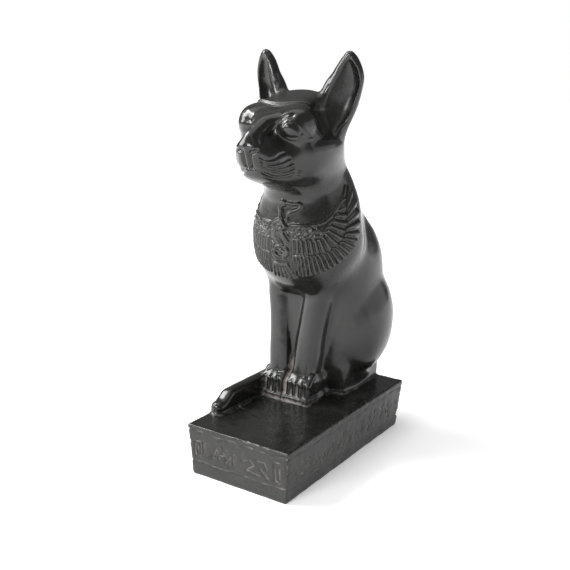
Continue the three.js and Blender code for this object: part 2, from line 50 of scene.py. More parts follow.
headParts = {
    "skull": {"at": (0, 0.5, 120.4), "radii": (16.4, 17.5, 16.4), "tilt": 5},
    "brow": {"at": (8.0, -12.2, 126.0), "radii": (6.6, 8.6, 6.4), "tilt": 14},
    "cheek": {"at": (9.2, -5.5, 115.5), "radii": (7.8, 12.0, 9.0), "tilt": 0},
    "jaw": {"at": (0, -7.0, 110.0), "radii": (11.6, 13.0, 6.2), "tilt": 0},
    "soft": 5.0,
    "browSoft": 2.6,
    "rear": -2.0,
    # height, front and half width of the muzzle from the chin to the bridge of the nose
    "muzzle": [
        (104.0, -17.5, 5.2), (105.6, -22.8, 7.8), (107.6, -26.4, 9.0), (109.8, -28.0, 9.6),
        (112.4, -30.0, 10.0),
        (115.4, -31.2, 9.8), (118.4, -31.7, 8.2), (121.0, -31.0, 5.6), (123.4, -29.4, 4.2),
        (126.0, -26.0, 4.6),
        (128.4, -22.0, 5.4), (130.6, -15.0, 6.0),
    ],
    "muzzleSoft": 4.0,
    # the flat crown: a point on its front edge, its rise to the back, and how softly it cuts
    "crown": {"y": -13.8, "z": 131.9, "rise": 0.24, "soft": 1.6},
}

bodyParts = {
    "neck": {"from": (0, 4.5, 108.0), "to": (0, 9.5, 92.0), "radii": (14.4, 17.2)},
    "chest": {"at": (0, 9.0, 80.5), "radii": (20.2, 18.2, 20.5), "tilt": 0},
    "shoulder": {"from": (10.8, 12.5, 95.0), "to": (12.6, 13.0, 80.0), "radii": (6.6, 6.4)},
    "arm": {"from": (12.6, 13.0, 80.0), "to": (11.2, 16.4, 61.0), "radii": (6.4, 4.2)},
    "thigh": {"at": (9.6, 30.0, 46.0), "radii": (11.4, 15.6, 21.0), "tilt": -10},
    "hindFoot": {"at": (7.9, 29.0, 23.2), "half": (5.4, 14.6, 8.0), "round": 1.2},
    "web": {"at": (0, 12.0, 44.0), "half": (4.0, 8.2, 25.0), "round": 1.0},
    "recess": {"at": (0, 17.0, 40.0), "half": (5.8, 10.0, 21.0), "round": 1.0},
    # height, front, rear, half width
    "back": [
        (19, 10, 43.0, 11.0), (26, 9, 43.4, 12.0), (34, 9, 44.2, 15.0), (42, 9, 44.6, 17.8),
        (52, 9, 44.6, 17.8), (62, 9, 44.4, 17.6), (74, 8, 43.8, 17.8), (81, 6, 41.8, 16.8),
        (87, 4, 37.0, 15.6), (92, 2, 31.6, 15.2), (98, 0, 27.6, 15.2), (106, -2, 22.6, 14.6),
        (118, -4, 14.0, 10.0),
    ],
    # height, middle x and y, half width, half depth
    "leg": [
        (20, 5.3, 4.2, 4.7, 5.4), (30, 5.4, 4.6, 4.7, 5.4), (36, 5.7, 5.6, 4.8, 6.0),
        (44, 6.3, 8.2, 5.0, 7.9), (53, 7.2, 12.0, 5.4, 11.0), (62, 8.4, 15.4, 6.0, 13.6),
        (72, 8.6, 15.4, 5.4, 10.8), (82, 8.2, 14.6, 1.6, 4.0),
    ],
}

ear = {
    "tip": (17.8, 4.7),
    "turn": 18,
    # height, outer reach, inner reach, depth, from the line under the tip
    "rows": [
        (114, -4.5, -8.5, 2.0), (119, -2.2, -10.2, 3.6), (123, -0.2, -11.4, 4.8), (127, 1.6, -12.0, 5.7),
        (131, 3.2, -11.4, 6.0), (134, 4.0, -10.4, 6.0), (137, 4.6, -9.1, 5.7), (140, 5.1, -7.6, 5.0),
        (142.5, 5.0, -6.2, 4.5), (145, 4.3, -4.8, 4.1), (147, 3.4, -3.5, 3.6), (148.5, 2.5, -2.4, 2.8),
        (149.5, 1.6, -1.6, 2.0), (150.2, 0.7, -0.8, 1.2),
    ],
    # height, outer and inner edge of the hollow, how far back it goes
    "hollow": [
        (121.6, -3.4, -5.6, -0.9), (123.5, -2.3, -6.6, 0.3), (126, -0.6, -7.8, 1.5), (131, 1.4, -9.8, 2.8),
        (136, 3.0, -8.8, 2.9), (140, 3.7, -6.8, 2.3), (143.6, 3.2, -4.6, 1.4), (146.4, 1.7, -2.6, 0.2),
        (147.8, 0.7, -1.2, -1.2),
    ],
    "hollowSlant": 0.6,
    "hollowDepth": 6.0,
}

paw = {
    "pad": {"at": (5.8, 5.0, 22.4), "half": (5.0, 7.4, 6.4), "round": 2.2},
    "ledge": {"at": (5.8, 4.0, 19.8), "half": (5.6, 8.6, 1.6), "round": 0.5},
    "toes": 4,
    "first": 1.85,
    "pitch": 2.7,
    "ankle": (1.6, 29.2),
    "knuckle": (-1.9, 26.3),
    "claw": (-2.7, 20.6),
    "radius": 1.3,
}

tail = {
    "path": [(-3.0, 40.0), (-11.0, 41.2), (-16.6, 36.5), (-19.0, 29.0), (-19.1, 12.0), (-19.1, -8.0),
             (-19.0, -28.5)],
    "halfWidth": 2.8,
    "top": 26.9,
    "tipTop": 23.8,
    "tipSlope": 6.5,
    "rootTop": 30.0,
    "round": 2.1,
}


# Distances, in millimetres, below zero inside

def blend(a, b, soft):
    h = np.maximum(soft - np.abs(a - b), 0) / soft
    return np.minimum(a, b) - h * h * soft * 0.25


def carve(a, b, soft):
    return -blend(-a, b, soft)


def tilted(q, degrees):
    a = math.radians(-degrees)
    y = q[:, 1] * math.cos(a) - q[:, 2] * math.sin(a)
    z = q[:, 1] * math.sin(a) + q[:, 2] * math.cos(a)
    return np.stack([q[:, 0], y, z], 1)


def massAt(p, mass):
    q = tilted(p - np.array(mass["at"]), mass["tilt"])
    r = np.array(mass["radii"])
    k0 = np.linalg.norm(q / r, axis=1)
    k1 = np.linalg.norm(q / (r * r), axis=1)
    return k0 * (k0 - 1) / np.maximum(k1, 1e-9)


def limbAt(p, limb):
    a = np.array(limb["from"], float)
    ab = np.array(limb["to"], float) - a
    t = np.clip((p - a) @ ab / (ab @ ab), 0, 1)
    ra, rb = limb["radii"]
    return np.linalg.norm(p - a - t[:, None] * ab, axis=1) - (ra + (rb - ra) * t)


def slabAt(p, at, half, rounding):
    q = np.abs(p - np.array(at)) - (np.array(half) - rounding)
    return np.linalg.norm(np.maximum(q, 0), axis=1) + np.minimum(q.max(axis=1), 0) - rounding


def between(z, rows, column):
    t = np.array([row[0] for row in rows], float)
    v = np.array([row[column] for row in rows], float)
    m = np.empty_like(v)
    m[1:-1] = (v[2:] - v[:-2]) / (t[2:] - t[:-2])
    m[0] = (v[1] - v[0]) / (t[1] - t[0])
    m[-1] = (v[-1] - v[-2]) / (t[-1] - t[-2])
    z = np.clip(z, t[0], t[-1])
    i = np.clip(np.searchsorted(t, z, side="right") - 1, 0, len(t) - 2)
    h = t[i + 1] - t[i]
    s = (z - t[i]) / h
    start = (2 * s**3 - 3 * s**2 + 1) * v[i] + (s**3 - 2 * s**2 + s) * h * m[i]
    return start + (3 * s**2 - 2 * s**3) * v[i + 1] + (s**3 - s**2) * h * m[i + 1]


def ovalAt(x, y, halfWidth, halfDepth, power):
    u = np.abs(x) / np.maximum(halfWidth, 0.05)
    v = np.abs(y) / np.maximum(halfDepth, 0.05)
    k = (u**power + v**power) ** (1 / power) + 1e-9
    slope = np.hypot((u / k) ** (power - 1) / np.maximum(halfWidth, 0.05),
                     (v / k) ** (power - 1) / np.maximum(halfDepth, 0.05))
    return np.minimum((k - 1) / (slope + 1e-9), 40)


def smoothstep(x, low, high):
    t = np.clip((x - low) / (high - low), 0, 1)
    return t * t * (3 - 2 * t)


def mirrored(p, midX):
    q = p.copy()
    q[:, 0] = np.abs(p[:, 0] - midX)
    return q


def headAt(p):
    m = mirrored(p, midlines["cat"])
    h = headParts
    d = blend(massAt(m, h["skull"]), massAt(m, h["brow"]), h["browSoft"])
    d = blend(d, massAt(m, h["cheek"]), h["soft"] + 1)
    d = blend(d, massAt(m, h["jaw"]), h["soft"])
    z = p[:, 2]
    front, halfWidth = (between(z, h["muzzle"], k) for k in (1, 2))
    muzzle = ovalAt(m[:, 0], p[:, 1] - (front + h["rear"]) / 2, halfWidth, (h["rear"] - front) / 2, 2.3)
    muzzle = np.maximum(muzzle, np.maximum(h["muzzle"][0][0] - z, z - h["muzzle"][-1][0]))
    d = blend(d, muzzle, h["muzzleSoft"])
    crown = h["crown"]
    above = p[:, 2] - crown["z"] - crown["rise"] * (p[:, 1] - crown["y"])
    return carve(d, -above, crown["soft"])


def earAt(p):
    m = mirrored(p, midlines["cat"])
    a = math.radians(-ear["turn"])
    x = m[:, 0] - ear["tip"][0]
    y = m[:, 1] - ear["tip"][1]
    qx = x * math.cos(a) - y * math.sin(a)
    qy = x * math.sin(a) + y * math.cos(a)
    z = p[:, 2]
    outer, inner, depth = (between(z, ear["rows"], k) for k in (1, 2, 3))
    shell = ovalAt(qx - (outer + inner) / 2, qy - 0.3 * depth, (outer - inner) / 2, 0.7 * depth, 2.0)
    shell = np.maximum(shell, np.maximum(ear["rows"][0][0] - z, z - ear["rows"][-1][0]))
    rows = ear["hollow"]
    outer, inner, rear = (between(z, rows, k) for k in (1, 2, 3))
    reach = ear["hollowDepth"]
    across = qx - (outer + inner) / 2
    hollow = ovalAt(across, qy - ear["hollowSlant"] * across - rear + reach, (outer - inner) / 2, reach, 2.0)
    hollow = np.maximum(hollow, np.maximum(rows[0][0] - z, z - rows[-1][0]))
    return shell, hollow


def torsoAt(p):
    m = mirrored(p, midlines["cat"])
    b = bodyParts
    d = blend(limbAt(m, b["neck"]), massAt(m, b["chest"]), 8)
    d = blend(d, blend(limbAt(m, b["shoulder"]), limbAt(m, b["arm"]), 3), 6)
    z = p[:, 2]
    front, rear, halfWidth = (between(z, b["back"], k) for k in (1, 2, 3))
    midX = midlines["back"] + (midlines["cat"] - midlines["back"]) * smoothstep(z, 60, 100)
    back = ovalAt(p[:, 0] - midX, p[:, 1] - (front + rear) / 2, halfWidth, (rear - front) / 2, 2.3)
    return blend(d, np.maximum(back, z - b["back"][-1][0]), 3.5)


def haunchAt(p):
    thigh = massAt(mirrored(p, midlines["rump"]), bodyParts["thigh"])
    foot = bodyParts["hindFoot"]
    block = slabAt(mirrored(p, midlines["feet"]), foot["at"], foot["half"], foot["round"])
    return blend(thigh, block, 1.0)


def legsAt(p):
    m = mirrored(p, midlines["paws"])
    rows = bodyParts["leg"]
    x, y, halfWidth, halfDepth = (between(p[:, 2], rows, k) for k in (1, 2, 3, 4))
    leg = ovalAt(m[:, 0] - x, p[:, 1] - y, halfWidth, halfDepth, 2.7)
    leg = np.maximum(leg, np.maximum(rows[0][0] - p[:, 2], p[:, 2] - rows[-1][0]))
    for name in ("web", "recess"):
        part = bodyParts[name]
        leg = blend(leg, slabAt(m, part["at"], part["half"], part["round"]), 0.8)
    return leg


def pawsAt(p):
    m = mirrored(p, midlines["paws"])
    d = slabAt(m, paw["pad"]["at"], paw["pad"]["half"], paw["pad"]["round"])
    d = np.minimum(d, slabAt(m, paw["ledge"]["at"], paw["ledge"]["half"], paw["ledge"]["round"]))
    for i in range(paw["toes"]):
        x = paw["first"] + paw["pitch"] * i
        bow = 0.25 * abs(i - 1.5) ** 1.5
        knuckle = (x, paw["knuckle"][0] + bow, paw["knuckle"][1])
        r = paw["radius"]
        upper = limbAt(m, {"from": (x, *paw["ankle"]), "to": knuckle, "radii": (r - 0.1, r)})
        lower = limbAt(m, {"from": knuckle, "to": (x, paw["claw"][0] + bow, paw["claw"][1]),
                           "radii": (r, r - 0.08)})
        d = blend(d, blend(upper, lower, 0.5), 0.5)
    return d


def plinthAt(p):
    lean = np.clip((plinth["height"] - p[:, 2]) / plinth["height"], 0, 1) * plinth["taper"]
    r = plinth["edge"]
    q = np.stack([
        np.abs(p[:, 0]) - plinth["width"] / 2 + lean,
        np.abs(p[:, 1]) - plinth["length"] / 2 + lean,
        np.abs(p[:, 2] - plinth["height"] / 2) - plinth["height"] / 2,
    ], 1) + r
    return np.linalg.norm(np.maximum(q, 0), axis=1) + np.minimum(q.max(1), 0) - r


def splinePoints(places, count):
    # a smooth curve through the places, evenly stepped
    knots = np.array(places, float)
    ends = np.vstack([2 * knots[0] - knots[1], knots, 2 * knots[-1] - knots[-2]])
    fine = []
    for i in range(len(knots) - 1):
        a, b, c, d = ends[i:i + 4]
        t = np.linspace(0, 1, 40, endpoint=False)[:, None]
        fine.append(0.5 * (2 * b + (c - a) * t + (2 * a - 5 * b + 4 * c - d) * t**2
                           + (3 * b - a - 3 * c + d) * t**3))
    fine = np.vstack(fine + [knots[-1:]])
    run = np.concatenate([[0], np.cumsum(np.linalg.norm(np.diff(fine, axis=0), axis=1))])
    even = np.linspace(0, run[-1], count)
    return np.stack([np.interp(even, run, fine[:, k]) for k in range(fine.shape[1])], 1)


def distanceToPath(q, path):
    # nearest distance from flat points to a chain of short segments, and how far along it lies
    best = np.full(len(q), 1e9)
    along = np.zeros(len(q))
    start = 0.0
    for a, b in zip(path[:-1], path[1:]):
        ab = b - a
        length = math.hypot(*ab)
        x = q[:, 0] - a[0]
        y = q[:, 1] - a[1]
        t = np.clip((x * ab[0] + y * ab[1]) / length**2, 0, 1)
        d = (x - t * ab[0]) ** 2 + (y - t * ab[1]) ** 2
        near = d < best
        best[near] = d[near]
        along[near] = start + t[near] * length
        start += length
    return np.sqrt(best), along, start


def tailAt(p):
    path = splinePoints(tail["path"], 36)
    d, along, length = distanceToPath(p[:, :2], path)
    left = length - along
    top = tail["tipTop"] + (tail["top"] - tail["tipTop"]) * smoothstep(left, 0, tail["tipSlope"])
    top = top + (tail["rootTop"] - tail["top"]) * (1 - smoothstep(along, 4, 24))
    r = tail["round"]
    q = np.stack([d - tail["halfWidth"], p[:, 2] - top], 1) + r
    return np.linalg.norm(np.maximum(q, 0), axis=1) + np.minimum(q.max(1), 0) - r


def headAndEarsAt(p):
    shell, hollow = earAt(p)
    return blend(carve(headAt(p), hollow, 4.0), carve(shell, hollow, 1.3), 3.0)


def where(part, p, low, high):
    # a part counts only inside its own box
    d = np.full(len(p), 30.0)
    inside = ((p > low) & (p < high)).all(axis=1)
    if inside.any():
        d[inside] = part(p[inside])
    return d


def statueAt(p):
    d = blend(where(headAndEarsAt, p, (-40, -50, 88), (40, 60, 170)),
              where(torsoAt, p, (-40, -30, 10), (40, 60, 140)), 6)
    # the legs' crisp edges melt into the body above the elbows
    legSoft = 1.5 + 4.0 * smoothstep(p[:, 2], 56, 68)
    d = blend(d, where(legsAt, p, (-30, -20, 10), (20, 45, 92)), legSoft)
    d = blend(d, where(haunchAt, p, (-40, 5, 10), (30, 60, 80)), 2.5)
    d = blend(d, where(pawsAt, p, (-30, -20, 10), (20, 25, 40)), 1.0)
    d = blend(d, where(plinthAt, p, (-40, -60, -10), (40, 60, 30)), 0.5)
    return blend(d, where(tailAt, p, (-30, -40, 10), (5, 52, 40)), 1.4)


def slopeAt(field, p, step=0.15):
    # outward direction from four samples round each point
    corners = np.array([(1, -1, -1), (-1, -1, 1), (-1, 1, -1), (1, 1, 1)], float)
    g = sum(corner * field(p + corner * step)[:, None] for corner in corners)
    return g / (4 * step)


def settle(field, p, rounds):
    # walks points onto the surface where the field is zero
    for _ in range(rounds):
        g = slopeAt(field, p)
        size = np.maximum((g * g).sum(1), 0.15)
        move = g * (field(p) / size)[:, None]
        reach = np.linalg.norm(move, axis=1)
        p = p - move * np.minimum(1, 0.8 / np.maximum(reach, 1e-9))[:, None]
    return p


# Mesh helpers

def readPoints(mesh):
    co = np.empty(len(mesh.vertices) * 3, np.float64)
    mesh.vertices.foreach_get("co", co)
    return co.reshape(-1, 3) / mm


def writePoints(mesh, p):
    mesh.vertices.foreach_set("co", (p * mm).ravel())
    mesh.update()


def edgePairs(mesh):
    pairs = np.empty(len(mesh.edges) * 2, np.int32)
    mesh.edges.foreach_get("vertices", pairs)
    return pairs.reshape(-1, 2)


def neighbourMean(values, pairs):
    a, b = pairs[:, 0], pairs[:, 1]
    count = np.bincount(a, minlength=len(values)) + np.bincount(b, minlength=len(values))
    out = np.zeros_like(values)
    for k in range(values.shape[1]):
        out[:, k] = np.bincount(a, values[b, k], len(values)) + np.bincount(b, values[a, k], len(values))
    return out / np.maximum(count, 1)[:, None]


def relax(field, p, pairs, rounds, share):
    # evens out the spacing along the surface
    for _ in range(rounds):
        n = slopeAt(field, p)
        n /= np.maximum(np.linalg.norm(n, axis=1), 1e-9)[:, None]
        move = (neighbourMean(p, pairs) - p) * share
        p = settle(field, p + move - n * (move * n).sum(1)[:, None], 1)
    return p


def faceCorners(mesh):
    start = np.empty(len(mesh.polygons), np.int32)
    mesh.polygons.foreach_get("loop_start", start)
    corner = np.empty(len(mesh.loops), np.int32)
    mesh.loops.foreach_get("vertex_index", corner)
    return start, corner


def facesWhere(mesh, regions):
    middles = np.empty(len(mesh.polygons) * 3)
    mesh.polygons.foreach_get("center", middles)
    middles = middles.reshape(-1, 3) / mm
    return np.any([region(middles) for region in regions], axis=0)


def facesAcross(mesh, height, least):
    # faces over which the height changes, and those beside them
    start, corner = faceCorners(mesh)
    change = np.maximum.reduceat(height[corner], start) - np.minimum.reduceat(height[corner], start)
    near = np.zeros(len(height), bool)
    counts = np.diff(np.append(start, len(corner)))
    near[corner[np.repeat(change > least, counts)]] = True
    return np.maximum.reduceat(near[corner], start)


def halveFaces(obj, take):
    bm = bmesh.new()
    bm.from_mesh(obj.data)
    bm.faces.ensure_lookup_table()
    edges = list({e for i in np.flatnonzero(take) for e in bm.faces[i].edges})
    bmesh.ops.subdivide_edges(bm, edges=edges, cuts=1, use_grid_fill=True)
    bm.to_mesh(obj.data)
    bm.free()


def carvedBlank(voxel):
    # one closed even skin round the frame's solid
    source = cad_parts["cat_statue"]
    mesh = source.data.copy()
    obj = bpy.data.objects.new("carved_cat", mesh)
    bpy.context.scene.collection.objects.link(obj)
    bm = bmesh.new()
    bm.from_mesh(mesh)
    bmesh.ops.remove_doubles(bm, verts=bm.verts, dist=1e-6)
    bm.to_mesh(mesh)
    bm.free()
    remesh = obj.modifiers.new("even skin", "REMESH")
    remesh.mode = "VOXEL"
    remesh.voxel_size = voxel * mm
    bpy.context.view_layer.update()
    even = bpy.data.meshes.new_from_object(obj.evaluated_get(bpy.context.evaluated_depsgraph_get()))
    obj.modifiers.clear()
    obj.data = even
    obj.data.name = "carved_cat"
    obj.data.materials.clear()
    return obj


# Relief. Every part gives a height in millimetres over the smooth form.

collar = {
    "axisY": 9.5,
    "unroll": 19.0,
    # places on one side of the unrolled chest: length round from the midline, and height
    "rim": [(0, 89.0), (9, 89.4), (15.1, 90.6), (17.4, 91.9), (20, 93.9), (23.2, 96.5), (26.2, 99.6),
            (28.0, 102.6)],
    "rib": 0.45,
    # each row of feathers: root, tip, and how many feathers lie before that place
    "lower": [
        ((4.6, 78.2), (5.6, 69.9), 0), ((9.7, 78.4), (11.1, 70.4), 3.8), ((14.2, 79.0), (17.0, 72.4), 7.2),
        ((18.5, 80.9), (22.5, 75.2), 10.4), ((22.0, 83.1), (27.5, 79.4), 13),
        ((24.2, 86.0), (31.2, 85.0), 15.4),
        ((25.0, 89.0), (32.8, 91.4), 17), ((25.6, 92.5), (32.4, 97.4), 18.5),
        ((26.5, 96.5), (30.8, 101.8), 19.8),
        ((28.6, 100.4), (29.8, 103.4), 21),
    ],
    "upper": [
        ((4.6, 84.0), (4.6, 78.8), 0), ((9.6, 84.3), (10.4, 78.9), 3.4), ((14.0, 84.6), (15.6, 79.9), 6.2),
        ((16.3, 86.0), (19.5, 81.7), 8), ((17.6, 88.0), (22.9, 84.6), 9.6), ((18.8, 90.2), (24.5, 88.2), 11),
        ((20.4, 92.4), (25.1, 91.6), 12.2), ((22.7, 95.0), (25.6, 95.0), 13.4),
        ((25.8, 98.4), (27.0, 98.8), 14.4),
    ],
    "coverts": [
        ((4.2, 88.8), (4.6, 84.6), 0), ((9.0, 89.0), (9.6, 84.9), 4), ((14.6, 90.0), (14.0, 85.2), 8),
        ((17.2, 91.5), (16.1, 87.0), 11), ((19.8, 93.5), (18.4, 90.8), 13),
    ],
    "feather": 0.85,
    "furrow": 0.44,
    # rough strokes over the shoulders of the wings: count, length, half width, height
    "strokes": 90,
    "strokeLength": 1.3,
    "strokeWidth": 0.34,
    "strokeProud": 0.5,
}

bird = {
    "midS": -0.5,
    "body": [(-4.4, 88.9), (-2.6, 90.4), (-0.4, 91.6), (1.4, 91.6), (3.0, 89.8), (4.2, 88.4), (1.8, 86.6),
             (-1.6, 86.8)],
    "neck": [(0.6, 91.6), (0.5, 93.6), (0.2, 95.4), (1.0, 96.9)],
    "headAt": (1.1, 96.9),
    "crest": [(2.4, 97.2), (5.0, 96.9), (7.8, 96.9), (7.4, 95.4), (4.6, 94.2), (3.2, 92.8), (3.3, 90.6)],
    "trunk": (75.4, 87.0, 4.0),
    "disc": (1.1, 79.4, 3.3),
    "tailTop": (75.2, 3.2),
    "tailFoot": (69.2, 6.2),
    "tailCount": 6,
    "proud": 1.15,
}

face = {
    "upperLid": [(5.0, 123.4), (6.0, 125.4), (7.2, 126.8), (9.2, 127.6), (11.5, 126.8), (13.2, 124.6),
                 (14.4, 120.9)],
    "lowerLid": [(5.0, 123.4), (7.0, 122.0), (8.9, 121.1), (11.9, 120.8), (14.4, 120.9)],
    "ball": 0.9,
    "lid": 0.24,
    "iris": (10.4, 124.1, 2.6),
    "browFold": [(9.8, 128.9), (8.0, 128.1), (6.2, 126.6), (4.8, 124.4), (4.2, 123.2)],
    "browDepth": 0.6,
    "cheekLine": [(4.0, 126.2), (3.2, 124.6), (3.2, 122.8), (3.8, 120.9), (5.0, 118.8)],
    "nose": [(0, 124.6), (1.6, 122.9), (3.2, 120.6), (4.7, 118.3), (3.4, 117.4), (1.4, 117.9), (0, 117.6)],
    "noseProud": (0.35, 0.7),
    "cleftHalf": 2.4,
    "cleftDepth": 0.45,
    "ridge": 0.5,
    "nostril": [(3.3, 117.2), (2.2, 116.9), (1.45, 115.6), (1.35, 113.4), (1.0, 111.0)],
    "nostrilDepth": 0.75,
    "mouth": [(0, 110.7), (2.4, 110.8), (4.6, 109.4), (6.7, 108.3), (8.6, 108.2), (10.1, 108.9),
              (11.4, 109.7)],
    "whiskers": [
        [(4.7, 115.4), (6.4, 114.4), (8.2, 114.9), (8.9, 116.4)],
        [(4.7, 114.0), (6.6, 112.9), (8.9, 113.3), (10.0, 114.5)],
        [(4.7, 112.8), (6.5, 111.6), (9.0, 111.7), (10.6, 113.0)],
        [(4.9, 111.5), (7.0, 110.4), (9.0, 110.1), (10.7, 111.2)],
    ],
    "whisker": 0.42,
    # the raised cap: its front edge on the midline, how it falls back to the sides, its height
    "capFront": -12.8,
    "capCurve": 0.026,
    "capProud": 0.6,
}

# groups of worn strokes that aren't letters: place along the face, height, and the way each runs
marks = {
    "width": 0.48,
    "depth": 0.5,
    "line": 0.42,
    # on the top: a long scratch
    "scratch": ((-15.8, -19.7), (3.2, -25.8)),
    "scratchDepth": 0.16,
    # a gap broken out of the rear right corner
    "notch": (20.9, 42.6, 5.2),
    "frontLines": [17.6, 5.4],
    "sideLines": [17.2, 4.6],
    # from the left end of the front: start, end
    "front": [
        ((3.2, 8.0), (3.2, 13.4)), ((3.2, 13.4), (5.6, 13.8)), ((5.6, 13.8), (5.7, 9.4)),
        ((4.4, 11.4), (4.5, 8.6)),
        ((6.9, 14.2), (6.9, 9.6)), ((10.6, 8.6), (12.6, 12.4)), ((12.6, 12.4), (14.0, 9.2)),
        ((11.2, 10.2), (15.4, 10.6)),
        ((15.8, 13.8), (17.4, 13.2)), ((15.6, 11.6), (18.4, 8.4)), ((16.6, 8.2), (18.9, 11.2)),
        ((20.4, 12.6), (20.2, 8.4)),
        ((24.2, 11.8), (27.4, 12.6)), ((27.4, 12.6), (28.8, 11.0)), ((28.8, 11.0), (25.6, 8.4)),
        ((25.6, 8.4), (31.0, 7.6)),
        ((30.4, 13.4), (33.4, 13.2)), ((33.4, 13.2), (34.4, 11.0)), ((31.6, 10.4), (34.8, 7.6)),
        ((37.6, 14.8), (39.6, 15.0)),
        ((37.6, 14.8), (37.7, 7.8)), ((39.4, 12.8), (39.5, 8.6)), ((37.7, 7.8), (39.5, 7.4)),
    ],
    "sideCount": 17,
}


def unroll(p):
    x = p[:, 0] - midlines["cat"]
    length = collar["unroll"] * np.arctan2(np.abs(x), collar["axisY"] - p[:, 1])
    return np.sign(x), length, p[:, 2]


def ridge(distance, halfWidth):
    return 1 - smoothstep(distance, halfWidth * 0.4, halfWidth * 1.3)


def lineDistance(q, places, count=40):
    d, _, _ = distanceToPath(q, splinePoints(places, count))
    return d


def insideOutline(q, places, count=48):
    # below zero inside a closed smooth outline
    loop = splinePoints(list(places) + [places[0]], count)
    d, _, _ = distanceToPath(q, loop)
    crossings = np.zeros(len(q), int)
    for a, b in zip(loop[:-1], loop[1:]):
        spans = (a[1] > q[:, 1]) != (b[1] > q[:, 1])
        meets = a[0] + (q[:, 1] - a[1]) * (b[0] - a[0]) / (b[1] - a[1] if b[1] != a[1] else 1e-9)
        crossings += spans & (q[:, 0] < meets)
    return np.where(crossings % 2 == 1, -d, d)


def stepped(places, count):
    # a smooth curve through the places, with the same number of steps between each two
    knots = np.array(places, float)
    ends = np.vstack([2 * knots[0] - knots[1], knots, 2 * knots[-1] - knots[-2]])
    t = np.linspace(0, len(knots) - 1, count)
    i = np.minimum(t.astype(int), len(knots) - 2)
    f = (t - i)[:, None]
    a, b, c, d = ends[i], ends[i + 1], ends[i + 2], ends[i + 3]
    return 0.5 * (2 * b + (c - a) * f + (2 * a - 5 * b + 4 * c - d) * f**2 + (3 * b - a - 3 * c + d) * f**3)


def stripPlaces(strip, q):
    # place of each point in a row of feathers: feathers passed, share from root to tip,
    # and distance off the row
    steps = np.linspace(0, 1, 200)
    a = stepped([row[0] for row in strip], len(steps))
    b = stepped([row[1] for row in strip], len(steps))
    passed = stepped([(row[2], 0) for row in strip], len(steps))[:, 0]

    def spot(t, v):
        root, tip = (np.stack([np.interp(t, steps, line[:, k]) for k in (0, 1)], 1) for line in (a, b))
        return root + (tip - root) * v[:, None], tip - root

    best = np.full(len(q), 1e9)
    t = np.zeros(len(q))
    v = np.zeros(len(q))
    for share in np.linspace(0, 1, 9):
        line = a * (1 - share) + b * share
        for i in range(0, len(steps), 2):
            d = (q[:, 0] - line[i, 0]) ** 2 + (q[:, 1] - line[i, 1]) ** 2
            near = d < best
            best[near] = d[near]
            t[near] = steps[i]
            v[near] = share
    for _ in range(3):
        here, rise = spot(t, v)
        step = 0.004
        low, high = np.maximum(t - step, 0), np.minimum(t + step, 1)
        run = (spot(high, v)[0] - spot(low, v)[0]) / (high - low)[:, None]
        gap = q - here
        det = rise[:, 0] * run[:, 1] - rise[:, 1] * run[:, 0]
        det = np.where(np.abs(det) < 1e-6, 1e-6, det)
        v = np.clip(v + (gap[:, 0] * run[:, 1] - gap[:, 1] * run[:, 0]) / det, 0, 1)
        t = np.clip(t + (rise[:, 0] * gap[:, 1] - rise[:, 1] * gap[:, 0]) / det, 0, 1)
    off = np.linalg.norm(q - spot(t, v)[0], axis=1)
    return np.interp(t, steps, passed), v, off


def featherRow(strip, q):
    passed, across, off = stripPlaces(strip, q)
    fromMiddle = np.abs(2 * (passed % 1) - 1)
    bar = 1 - smoothstep(fromMiddle, 0.92 - collar["furrow"] * 1.6, 0.98)
    crest = 1 - 0.25 * fromMiddle**2
    tip = 1 - 0.07 * fromMiddle**2
    length = smoothstep(across, -0.02, 0.04) * (1 - smoothstep(across, tip - 0.05, tip))
    return collar["feather"] * bar * crest * length * (1 - smoothstep(off, 0.02, 0.3))


def covertStrokes():
    # short worn strokes scattered along the wing's shoulder
    chance = np.random.default_rng(23)
    rows = collar["coverts"]
    roots = stepped([row[0] for row in rows], 60)
    tips = stepped([row[1] for row in rows], 60)
    runs = []
    for i in range(collar["strokes"]):
        step = int(chance.uniform(0, 59.9))
        share = (i % 4 + chance.uniform(0.2, 0.8)) / 4
        middle = roots[step] * (1 - share) + tips[step] * share
        lean = chance.uniform(-0.5, 1.1)
        half = 0.5 * collar["strokeLength"] * np.array([math.cos(lean), math.sin(lean)])
        runs.append((tuple(middle - half), tuple(middle + half)))
    return runs


def covertMarks(q):
    apart = nearestStroke(q, covertStrokes())
    return collar["strokeProud"] * ridge(apart, collar["strokeWidth"])


def collarHeight(p):
    side, s, z = unroll(p)
    q = np.stack([s, z], 1)
    h = np.maximum(featherRow(collar["lower"], q), featherRow(collar["upper"], q))
    h = np.maximum(h, covertMarks(q))
    tierLine = [row[0] for row in collar["lower"]]
    h = np.maximum(h, collar["rib"] * ridge(lineDistance(q, tierLine), 0.42))
    rim = lineDistance(q, collar["rim"])
    h = (np.maximum(h, collar["rib"] * ridge(np.abs(rim - 0.25), 0.4))
         - 0.3 * ridge(np.abs(rim - 1.0), 0.35) * (s > 14))
    hem = [row[0] for row in collar["upper"][:4]]
    h = np.maximum(h, 0.35 * ridge(lineDistance(q, hem), 0.3))
    return birdHeight(np.stack([side * s, z], 1), h)


